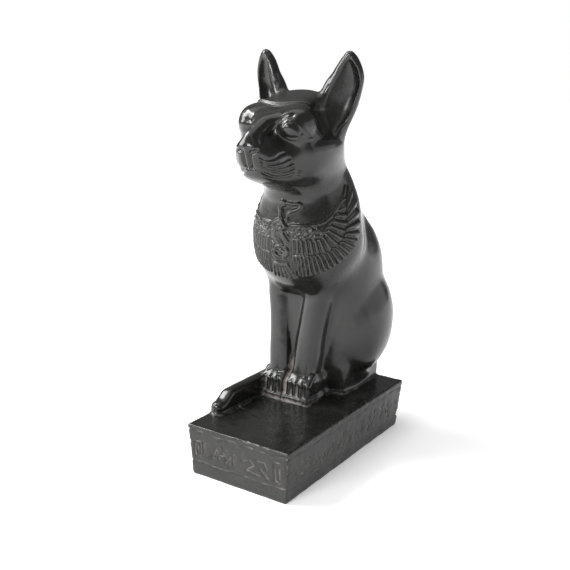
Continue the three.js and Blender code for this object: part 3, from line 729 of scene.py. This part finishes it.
def birdHeight(q, ground):
    k = q - np.array([bird["midS"], 0])
    proud = bird["proud"]
    body = insideOutline(k, bird["body"])
    low, high, trunkHalf = bird["trunk"]
    trunk = np.maximum(np.abs(k[:, 0] - 0.6) - trunkHalf, np.maximum(low - q[:, 1], q[:, 1] - high))
    fanTop, fanTopHalf = bird["tailTop"]
    fanFoot, fanFootHalf = bird["tailFoot"]
    share = np.clip((fanTop - q[:, 1]) / (fanTop - fanFoot), 0, 1)
    fanX = (k[:, 0] - 0.4 - 0.8 * share) / (fanTopHalf + (fanFootHalf - fanTopHalf) * share)
    fan = np.maximum((np.abs(fanX) - 1) * 4, np.maximum(fanFoot - q[:, 1], q[:, 1] - fanTop))
    h = ground * smoothstep(np.minimum(np.minimum(body, trunk), fan), 0.1, 0.8)
    # the trunk: slanting bands that wander
    slant = q[:, 1] * 0.62 + k[:, 0] * 0.8 + 0.5 * np.sin(k[:, 0] * 1.3 + q[:, 1] * 0.9)
    weave = np.abs((slant / 1.7) % 1 * 2 - 1)
    h = np.maximum(h, (0.15 + 0.5 * smoothstep(weave, 0.3, 0.8)) * (1 - smoothstep(trunk, -0.5, 0.1)))
    # the fan of the tail, a raised plate with slots
    slot = np.abs(((fanX + 1) / 2 * bird["tailCount"]) % 1 * 2 - 1)
    bars = np.where((q[:, 1] > fanTop - 1.1) | (np.abs(fanX) > 0.86), 1, smoothstep(1 - slot, 0.3, 0.62))
    h = np.maximum(h, proud * (0.35 + 0.45 * bars) * (1 - smoothstep(fan, -0.3, 0.1)))
    # the disc with two slanting bands
    cx, cz, radius = bird["disc"]
    r = np.hypot(k[:, 0] - cx, (q[:, 1] - cz) * 1.35)
    h = h * smoothstep(r, radius * 0.85, radius + 0.7)
    h = np.maximum(h, proud * 0.85 * ridge(np.abs(r - radius * 0.86), 0.5))
    band = (k[:, 0] - cx) * 0.55 + (q[:, 1] - cz)
    h = np.maximum(h, proud * 0.75 * ridge(np.abs(np.abs(band) - 0.75), 0.42) * (r < radius * 0.95))
    # the bird's body, neck, head and crest
    h = np.maximum(h, proud * (1 - smoothstep(body, -1.1, 0.2)))
    h = h - 0.35 * ridge(np.abs(np.hypot(k[:, 0] - 0.2, q[:, 1] - 89.0) - 0.9), 0.24)
    h = np.maximum(h, proud * ridge(lineDistance(k, bird["neck"]), 1.0))
    x, z = bird["headAt"]
    h = np.maximum(h, proud * (1 - smoothstep(np.hypot(k[:, 0] - x, q[:, 1] - z), 0.9, 1.8)))
    return np.maximum(h, 0.75 * proud * ridge(lineDistance(k, bird["crest"]), 0.6))


def faceHeight(p):
    m = mirrored(p, midlines["cat"])
    q = m[:, [0, 2]]
    ahead = 1 - smoothstep(p[:, 1], -14, -12)
    eye = insideOutline(q, face["upperLid"] + face["lowerLid"][-2:0:-1])
    h = face["ball"] * smoothstep(-eye, -0.2, 2.4)
    x, z, radius = face["iris"]
    r = np.hypot(q[:, 0] - x, q[:, 1] - z)
    h = h - 0.16 * ridge(np.abs(r - radius), 0.3) * (eye < -0.5)
    for lid in ("upperLid", "lowerLid"):
        h = h + face["lid"] * ridge(lineDistance(q, face[lid]), 0.42)
    h = h - face["browDepth"] * (1 - smoothstep(lineDistance(q, face["browFold"]), 0.1, 1.5))
    h = h + 0.2 * ridge(lineDistance(q, face["cheekLine"]), 0.36)
    cleft = smoothstep(q[:, 1], 110.2, 112.0) * (1 - smoothstep(q[:, 1], 116.4, 118.0))
    h = h - face["cleftDepth"] * (1 - smoothstep(q[:, 0], 0.9, face["cleftHalf"])) * cleft
    h = h + face["ridge"] * (1 - smoothstep(q[:, 0], 0.15, 0.9)) * cleft
    h = h - face["nostrilDepth"] * (1 - smoothstep(lineDistance(q, face["nostril"]), 0.1, 0.95))
    nose = insideOutline(q, face["nose"] + [(-x, z) for x, z in face["nose"][-2:0:-1]])
    low, high = face["noseProud"]
    down = 1 - smoothstep(q[:, 1], face["nose"][-1][1], face["nose"][0][1])
    h = h + (low + (high - low) * down) * (1 - smoothstep(nose, -0.8, 0.2))
    fade = 1 - 0.35 * smoothstep(q[:, 0], 4, 12)
    h = h - 0.7 * fade * (1 - smoothstep(lineDistance(q, face["mouth"]), 0.1, 0.8))
    h = h + 0.4 * (1 - smoothstep(np.hypot(q[:, 0] - 10.9, q[:, 1] - 109.2), 0.3, 0.9))
    depth = face["whisker"] * np.where(p[:, 0] < midlines["cat"], 0.35, 1.0)
    for whisker in face["whiskers"]:
        h = h - depth * (1 - smoothstep(lineDistance(q, whisker, 16), 0.05, 0.6))
    # the marks round the eye on the cat's right are rubbed nearly smooth
    rubbed = (p[:, 0] < midlines["cat"]) * smoothstep(q[:, 0], 4.5, 6.5) * smoothstep(q[:, 1], 119, 122)
    return h * ahead * (1 - 0.7 * rubbed)


def capHeight(p):
    s = p[:, 0] - midlines["cat"]
    edge = face["capFront"] + face["capCurve"] * s * s
    behind = smoothstep(p[:, 1], edge - 0.25, edge + 0.25)
    lip = ridge(np.abs(p[:, 1] - edge - 0.4), 0.45)
    inside = (1 - smoothstep(np.abs(s), 9.5, 12)) * (1 - smoothstep(p[:, 1], 2, 12))
    return (face["capProud"] * behind + 0.3 * lip) * inside * smoothstep(p[:, 2], 129.6, 130.6)


def plinthStrokes():
    # the front's strokes as measured, and scattered runs on the long side, kept apart by face
    front = [((a[0], a[1]), (b[0], b[1])) for a, b in marks["front"]]
    chance = np.random.default_rng(41)
    side = []
    for i in range(marks["sideCount"]):
        along = 5.0 + i * 4.8 + chance.uniform(-1, 1)
        for _ in range(3):
            a = np.array([along + chance.uniform(-1.4, 1.4), chance.uniform(7, 14)])
            b = a + chance.uniform(-2.2, 2.2, 2)
            side.append((tuple(a), tuple(np.clip(b, (3, 6.6), (84, 15.4)))))
    return {"front": front, "side": side}


strokes = plinthStrokes()


def nearestStroke(q, runs):
    best = np.full(len(q), 1e9)
    for a, b in runs:
        ax, az = a
        bx, bz = b[0] - ax, b[1] - az
        t = np.clip(((q[:, 0] - ax) * bx + (q[:, 1] - az) * bz) / (bx * bx + bz * bz + 1e-9), 0, 1)
        best = np.minimum(best, np.hypot(q[:, 0] - ax - t * bx, q[:, 1] - az - t * bz))
    return best


def plinthFaces(p):
    # which face a point lies on: the front or the right side, below the top
    lean = (plinth["height"] - p[:, 2]) / plinth["height"] * plinth["taper"]
    front = np.abs(p[:, 1] + plinth["length"] / 2 - lean) < 1.2
    right = np.abs(p[:, 0] - plinth["width"] / 2 + lean) < 1.2
    below = p[:, 2] < plinth["height"] - 0.3
    return front & below, right & below


def waver(p, size, seed):
    # smooth unevenness from about -1 to 1, with bumps about as wide as size
    chance = np.random.default_rng(seed)
    total = np.zeros(len(p))
    for _ in range(6):
        way = chance.normal(size=3)
        way *= 2 * math.pi * chance.uniform(0.7, 1.4) / (size * np.linalg.norm(way))
        total += np.sin(p @ way + chance.uniform(0, 6.3))
    return total / 3.2


def edgeGaps(p):
    # how far each point is from the plinth's sides, ends and top or foot
    lean = (plinth["height"] - p[:, 2]) / plinth["height"] * plinth["taper"]
    return np.stack([
        np.abs(plinth["width"] / 2 - lean - np.abs(p[:, 0])),
        np.abs(plinth["length"] / 2 - lean - np.abs(p[:, 1])),
        np.minimum(np.abs(p[:, 2]), np.abs(p[:, 2] - plinth["height"])),
    ], 1)


def plinthWear(p):
    # rubbed edges with chips
    gaps = np.sort(edgeGaps(p), axis=1)
    apart = np.hypot(gaps[:, 0], gaps[:, 1])
    chip = smoothstep(waver(p, 6, 11) + 0.6 * waver(p, 2.2, 12), 0.35, 1.15)
    notch = np.linalg.norm(p - np.array(marks["notch"]), axis=1)
    worn = (0.1 + 0.32 * chip) * (1 - smoothstep(apart, 0.1, 1.5)) * smoothstep(p[:, 2], 2.5, 6)
    return -worn - 1.1 * (1 - smoothstep(notch, 0.6, 1.9))


def scratchHeight(p):
    a, b = marks["scratch"]
    apart = nearestStroke(p[:, :2], [(a, b)])
    on = (np.abs(p[:, 2] - plinth["height"]) < 0.4) | (p[:, 2] > plinth["height"])
    return -marks["scratchDepth"] * ridge(apart, 0.3) * on


def plinthHeight(p):
    h = plinthWear(p)
    front, right = plinthFaces(p)
    q = np.stack([p[:, 0] + plinth["width"] / 2, p[:, 2]], 1)
    for on, q, runs, lines, share in (
        (front, q, strokes["front"], marks["frontLines"], 1.0),
        (right, np.stack([p[:, 1] + plinth["length"] / 2, p[:, 2]], 1),
         strokes["side"], marks["sideLines"], 0.7),
    ):
        if not on.any():
            continue
        k = q[on]
        worn = 0.6 + 0.4 * np.sin(k[:, 0] * 0.9 + k[:, 1] * 0.5)
        cut = share * marks["depth"] * ridge(nearestStroke(k, runs), marks["width"]) * (0.6 + 0.4 * worn)
        for line in lines:
            drift = 0.25 * np.sin(k[:, 0] * 0.35)
            cut = np.maximum(cut, (marks["line"] * ridge(np.abs(k[:, 1] - line - drift), 0.4)
                                   * (0.4 + 0.6 * worn)))
        h[on] -= cut
    return h


def onChest(p):
    s = unroll(p)[1]
    return (p[:, 2] > 68.3) & (p[:, 2] < 104) & (s < 33.8) & (p[:, 1] < 15.5)


def onFace(p):
    m = mirrored(p, midlines["cat"])
    return (p[:, 1] < -12) & (p[:, 2] > 105) & (p[:, 2] < 130) & (m[:, 0] < 16)


def onCap(p):
    m = mirrored(p, midlines["cat"])
    edge = face["capFront"] + face["capCurve"] * m[:, 0] ** 2
    return (p[:, 2] > 129) & (m[:, 0] < 12.5) & (np.abs(p[:, 1] - edge) < 1.4)


def onPaws(p):
    return (p[:, 1] < 4) & (p[:, 2] > 18.8) & (p[:, 2] < 31) & (p[:, 0] > -20) & (p[:, 0] < 6)


def onEars(p):
    return (p[:, 2] > 134) | ((p[:, 2] > 118) & (np.abs(p[:, 0] - midlines["cat"]) > 10) & (p[:, 1] < 6))


def onTailTip(p):
    return (p[:, 1] < -23) & (p[:, 0] < -14) & (p[:, 2] > 18.5)


def onStrokes(p):
    front, right = plinthFaces(p)
    take = np.zeros(len(p), bool)
    for on, across, runs in ((front, p[:, 0] + plinth["width"] / 2, strokes["front"]),
                             (right, p[:, 1] + plinth["length"] / 2, strokes["side"])):
        if on.any():
            take[on] = nearestStroke(np.stack([across[on], p[on, 2]], 1), runs) < 1.1
    return take


def onPlinthEdge(p):
    return ((edgeGaps(p) < 1.5).sum(1) >= 2) & (p[:, 2] < plinth["height"] + 1) & (p[:, 2] > 2)


def onLines(p):
    front, right = plinthFaces(p)
    gap = [np.min([np.abs(p[:, 2] - line) for line in marks[name]], axis=0)
           for name in ("frontLines", "sideLines")]
    return (front & (gap[0] < 1.0)) | (right & (gap[1] < 1.0))


def onScratch(p):
    return (p[:, 2] > plinth["height"] - 0.5) & (p[:, 2] < plinth["height"] + 0.5) & (
        nearestStroke(p[:, :2], [marks["scratch"]]) < 1.0)


def onEarRim(p):
    shell, hollow = earAt(p)
    return (p[:, 2] > 120) & (np.abs(shell) < 1.0) & (np.abs(hollow) < 1.0)


def reliefAt(p):
    h = np.zeros(len(p))
    for region, height in ((onChest, collarHeight), (onFace, faceHeight),
                           (lambda p: p[:, 2] > 128, capHeight),
                           (lambda p: p[:, 2] < plinth["height"] + 0.3, plinthHeight),
                           (onScratch, scratchHeight)):
        on = region(p)
        h[on] += height(p[on])
    return h


grain = {
    "voxel": 1.35,
    "change": 0.11,
    # how far out and in the surroundings are felt
    "reach": 1.8,
    "edge": 1.0,
}

statue = carvedBlank(grain["voxel"])
points = settle(statueAt, readPoints(statue.data), 5)
points = relax(statueAt, points, edgePairs(statue.data), 4, 0.5)
writePoints(statue.data, points)
print("blank", len(points), "points")

carvedRegions = (onChest, onFace, onCap, onPaws, onEars, onTailTip, onPlinthEdge, onStrokes, onLines,
                 onScratch)
halveFaces(statue, facesWhere(statue.data, carvedRegions))
points = relax(statueAt, settle(statueAt, readPoints(statue.data), 2), edgePairs(statue.data), 1, 0.5)
writePoints(statue.data, points)
print("finer", len(points), "points")
fine = (facesAcross(statue.data, reliefAt(points), grain["change"])
        | facesWhere(statue.data, (onPaws, onEarRim)))
halveFaces(statue, fine)
points = settle(statueAt, readPoints(statue.data), 2)
points = relax(statueAt, points, edgePairs(statue.data), 2, 0.5)
outward = slopeAt(statueAt, points)
outward /= np.maximum(np.linalg.norm(outward, axis=1), 1e-9)[:, None]
relief = reliefAt(points)
relief += np.where(points[:, 2] > plinth["height"] + 1, 0.06 * waver(points, 14, 5),
                   0.08 * waver(points, 7, 13))

# what the stone's finish follows: shelter for dust, worn edges, dull places
pairs = edgePairs(statue.data)
reach = grain["reach"]
shelter = np.clip(1 - statueAt(points + outward * reach) / reach, 0, 1)
exposed = np.clip(1 + statueAt(points - outward * grain["edge"]) / grain["edge"], 0, 1)
around = relief[:, None]
for _ in range(6):
    around = neighbourMean(around, pairs)
sunk = np.clip((around[:, 0] - relief) / 0.16, 0, 1)
raised = np.clip((relief - around[:, 0]) / 0.2, 0, 1)
points = points + outward * relief[:, None]
points[:, 2] = np.maximum(points[:, 2], 0)
writePoints(statue.data, points)
print("relief on", len(points), "points")


def near(p, at, size):
    return 1 - smoothstep(np.linalg.norm((p - np.array(at)) / np.array(size), axis=1), 0.6, 1.0)


def dustShare(p):
    # how readily dust shows: most round the paws, along the legs' groove and at the tail's foot
    share = 0.14 + 0.12 * onChest(p) + 0.5 * (p[:, 2] < plinth["height"] + 0.2)
    share += 0.85 * near(p, (midlines["paws"], -2, 24), (16, 12, 10))
    share += 0.6 * near(p, (midlines["paws"], 6, 46), (5, 14, 26))
    share += 0.7 * near(p, (-18, -22, 22), (8, 14, 6))
    return np.where(onFace(p), 0.12, np.minimum(share, 1.0))


def dullShare(p):
    # where the polish is gone: the plinth, the recess behind the legs, inside the ears, the crown, the collar
    m = mirrored(p, midlines["cat"])
    sides = p[:, 2] < plinth["height"] - 0.4
    top = (np.abs(p[:, 2] - plinth["height"]) < 0.5)
    share = 0.75 * sides + 0.12 * top + 0.12 * onChest(p)
    share += 0.9 * near(p, (-2, 17, 40), (7, 10, 24)) * (p[:, 0] > -6)
    share += 0.55 * (earAt(p)[1] < 0.5) * (1 - smoothstep(m[:, 0], 15, 19)) * (p[:, 2] > 118)
    share += 0.4 * (p[:, 2] > 131) * (m[:, 0] < 10)
    return np.clip(share, 0, 1)


def writeShare(name, values):
    layer = statue.data.attributes.new(name, "FLOAT", "POINT")
    layer.data.foreach_set("value", np.ascontiguousarray(values, np.float32))


writeShare("dust", np.clip(0.9 * shelter + 0.75 * sunk, 0, 1) * dustShare(points))
writeShare("worn", np.clip(1.3 * exposed * (points[:, 2] < plinth["height"] + 1) + 0.8 * raised, 0, 1))
writeShare("dull", dullShare(points))
print("finish marked")

# Stone

stone = {
    "dark": (0.0072, 0.0078, 0.007, 1),
    "light": (0.0125, 0.0132, 0.0118, 1),
    "worn": (0.05, 0.05, 0.046, 1),
    "dust": (0.3, 0.265, 0.245, 1),
    "polish": (0.17, 0.27),
    "dullness": 0.3,
    "cloud": 70,
    "speckle": 1500,
    "scuff": 420,
    "bump": 0.00005,
}


def blackStone():
    mat = bpy.data.materials.new("blackStone")
    mat.use_nodes = True
    nodes = mat.node_tree.nodes
    links = mat.node_tree.links
    shader = nodes["Principled BSDF"]
    place = nodes.new("ShaderNodeTexCoord")

    def noise(scale, detail):
        node = nodes.new("ShaderNodeTexNoise")
        node.inputs["Scale"].default_value = scale
        node.inputs["Detail"].default_value = detail
        links.new(place.outputs["Object"], node.inputs["Vector"])
        return node.outputs["Fac"]

    def share(name):
        node = nodes.new("ShaderNodeAttribute")
        node.attribute_name = name
        return node.outputs["Fac"]

    def sums(operation, a, b):
        node = nodes.new("ShaderNodeMath")
        node.operation = operation
        for socket, value in zip(node.inputs, (a, b)):
            if isinstance(value, (int, float)):
                socket.default_value = value
            else:
                links.new(value, socket)
        return node.outputs[0]

    def span(value, low, high, first=0.0, last=1.0):
        node = nodes.new("ShaderNodeMapRange")
        node.interpolation_type = "SMOOTHSTEP"
        for key, number in (("From Min", low), ("From Max", high), ("To Min", first), ("To Max", last)):
            node.inputs[key].default_value = number
        links.new(value, node.inputs["Value"])
        return node.outputs[0]

    def tint(factor, a, b):
        node = nodes.new("ShaderNodeMix")
        node.data_type = "RGBA"
        links.new(factor, node.inputs["Factor"])
        for key, value in (("A", a), ("B", b)):
            socket = [s for s in node.inputs if s.name == key and s.type == "RGBA"][0]
            if isinstance(value, tuple):
                socket.default_value = value
            else:
                links.new(value, socket)
        return [s for s in node.outputs if s.type == "RGBA"][0]

    cloud = noise(stone["cloud"], 3)
    speckle = noise(stone["speckle"], 2)
    scuff = noise(stone["scuff"], 4)
    dustMask = span(sums("MULTIPLY", share("dust"), sums("ADD", -0.15, sums("MULTIPLY", scuff, 2.1))), 0.18,
                    0.8)
    wornMask = span(sums("MULTIPLY", share("worn"), sums("ADD", 0.3, scuff)), 0.35, 0.95)
    colour = tint(span(cloud, 0.35, 0.65), stone["dark"], stone["light"])
    colour = tint(sums("MULTIPLY", wornMask, 0.7), colour, stone["worn"])
    colour = tint(sums("MULTIPLY", share("dull"), span(speckle, 0.42, 0.72, 0.0, 0.5)), colour, stone["worn"])
    colour = tint(sums("MULTIPLY", dustMask, 0.75), colour, stone["dust"])
    links.new(colour, shader.inputs["Base Color"])

    rough = span(scuff, 0.3, 0.7, *stone["polish"])
    rough = sums("ADD", rough, sums("MULTIPLY", share("dull"), stone["dullness"]))
    rough = sums("ADD", rough, sums("MULTIPLY", dustMask, 0.4))
    rough = sums("ADD", rough, sums("MULTIPLY", wornMask, 0.1))
    links.new(rough, shader.inputs["Roughness"])

    bump = nodes.new("ShaderNodeBump")
    bump.inputs["Distance"].default_value = stone["bump"]
    links.new(sums("ADD", sums("MULTIPLY", speckle, 0.5), scuff), bump.inputs["Height"])
    links.new(sums("ADD", 0.12, sums("MULTIPLY", share("dull"), 0.8)), bump.inputs["Strength"])
    links.new(bump.outputs[0], shader.inputs["Normal"])
    return mat


statue.data.materials.append(blackStone())
statue.data.shade_smooth()
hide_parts("cat_statue")
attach(statue, "root")

stage = {
    "room": 0.2,
    # the paper's glow near and far, and the span it rises over: painted light, held low near the statue as
    # painted shade
    "paperGlowWithPaintedShade": (0.3, 1.0),
    "paintedShadeReach": (0.08, 0.38),
    # each light: where it stands and aims, its size, and its power
    "lights": {
        "leftWindow": {"at": (-0.79, -0.42, 0.48), "aim": (0, 0, 0.1), "size": (0.5, 0.42), "power": 7.5},
        "frontWindow": {"at": (-0.12, -0.88, 0.48), "aim": (0, 0, 0.1), "size": (0.34, 0.3), "power": 6.0},
        "highWindow": {"at": (-0.64, -0.14, 0.78), "aim": (0, 0, 0.1), "size": (0.4, 0.34), "power": 7.5},
        "rightCard": {"at": (0.72, 0.42, 0.16), "aim": (0, 0, 0.09), "size": (0.9, 0.36), "power": 1.0},
        "overhead": {"at": (-0.1, 0.0, 1.0), "aim": (0, 0, 0.05), "size": (0.9, 0.9), "power": 3.5},
    },
}

# Camera, from the photograph's framing
view = {"at": (164.84, -267.5, 148.76), "yaw": 33.08, "pitch": 14.87, "roll": 1.35, "focal": 871.4,
        "frame": 570}


def addCamera():
    yaw, pitch, roll = (math.radians(view[k]) for k in ("yaw", "pitch", "roll"))
    forward = Vector((-math.sin(yaw) * math.cos(pitch), math.cos(yaw) * math.cos(pitch), -math.sin(pitch)))
    level = Vector((math.cos(yaw), math.sin(yaw), 0))
    upright = level.cross(forward)
    right = level * math.cos(roll) + upright * math.sin(roll)
    up = upright * math.cos(roll) - level * math.sin(roll)
    data = bpy.data.cameras.new("camera")
    data.sensor_width = 36
    data.lens = view["focal"] / view["frame"] * data.sensor_width
    data.clip_end = 20
    obj = bpy.data.objects.new("camera", data)
    turn = Matrix((right, up, -forward)).transposed()
    obj.matrix_world = Matrix.Translation(Vector(view["at"]) * mm) @ turn.to_4x4()
    bpy.context.scene.collection.objects.link(obj)
    bpy.context.scene.camera = obj


def addLight(name, at, aim, size, power, colour=(1, 1, 1)):
    data = bpy.data.lights.new(name, "AREA")
    data.shape = "RECTANGLE"
    data.size, data.size_y = size
    data.energy = power
    data.color = colour
    obj = bpy.data.objects.new(name, data)
    obj.location = at
    obj.rotation_euler = (Vector(aim) - Vector(at)).to_track_quat("-Z", "Y").to_euler()
    bpy.context.scene.collection.objects.link(obj)


def addFloor():
    bm = bmesh.new()
    bmesh.ops.create_grid(bm, x_segments=2, y_segments=2, size=3)
    mesh = bpy.data.meshes.new("floor")
    bm.to_mesh(mesh)
    bm.free()
    floor = bpy.data.objects.new("floor", mesh)
    mat = bpy.data.materials.new("glowingPaperWithPaintedShade")
    mat.use_nodes = True
    shader = mat.node_tree.nodes["Principled BSDF"]
    shader.inputs["Base Color"].default_value = (0.9, 0.9, 0.9, 1)
    shader.inputs["Roughness"].default_value = 0.9
    shader.inputs["Emission Color"].default_value = (1, 1, 1, 1)
    # painted light: the paper glows, with less glow near the statue as a painted shadow round it and full
    # glow further away, so it turns fully white away from the statue
    nodes = mat.node_tree.nodes
    links = mat.node_tree.links
    place = nodes.new("ShaderNodeTexCoord")
    reach = nodes.new("ShaderNodeVectorMath")
    reach.operation = "LENGTH"
    fade = nodes.new("ShaderNodeMapRange")
    fade.inputs["From Min"].default_value, fade.inputs["From Max"].default_value = stage["paintedShadeReach"]
    fade.inputs["To Min"].default_value, fade.inputs["To Max"].default_value = stage["paperGlowWithPaintedShade"]
    links.new(place.outputs["Object"], reach.inputs[0])
    links.new(reach.outputs["Value"], fade.inputs["Value"])
    links.new(fade.outputs[0], shader.inputs["Emission Strength"])
    mesh.materials.append(mat)
    bpy.context.scene.collection.objects.link(floor)


def addWorld():
    # white behind the statue, dimmer where it lights the stone
    world = bpy.data.worlds.new("paleRoom")
    world.use_nodes = True
    nodes = world.node_tree.nodes
    links = world.node_tree.links
    seen = nodes["Background"]
    seen.inputs["Color"].default_value = (1, 1, 1, 1)
    seen.inputs["Strength"].default_value = 1.0
    room = nodes.new("ShaderNodeBackground")
    room.inputs["Color"].default_value = (1, 1, 1, 1)
    room.inputs["Strength"].default_value = stage["room"]
    rays = nodes.new("ShaderNodeLightPath")
    mix = nodes.new("ShaderNodeMixShader")
    links.new(rays.outputs["Is Camera Ray"], mix.inputs[0])
    links.new(room.outputs[0], mix.inputs[1])
    links.new(seen.outputs[0], mix.inputs[2])
    links.new(mix.outputs[0], nodes["World Output"].inputs["Surface"])
    bpy.context.scene.world = world


addCamera()
addFloor()
addWorld()
for name, light in stage["lights"].items():
    addLight(name, light["at"], light["aim"], light["size"], light["power"])
bpy.context.scene.view_settings.view_transform = "Standard"

print("triangles", sum(len(f.vertices) - 2 for f in statue.data.polygons))
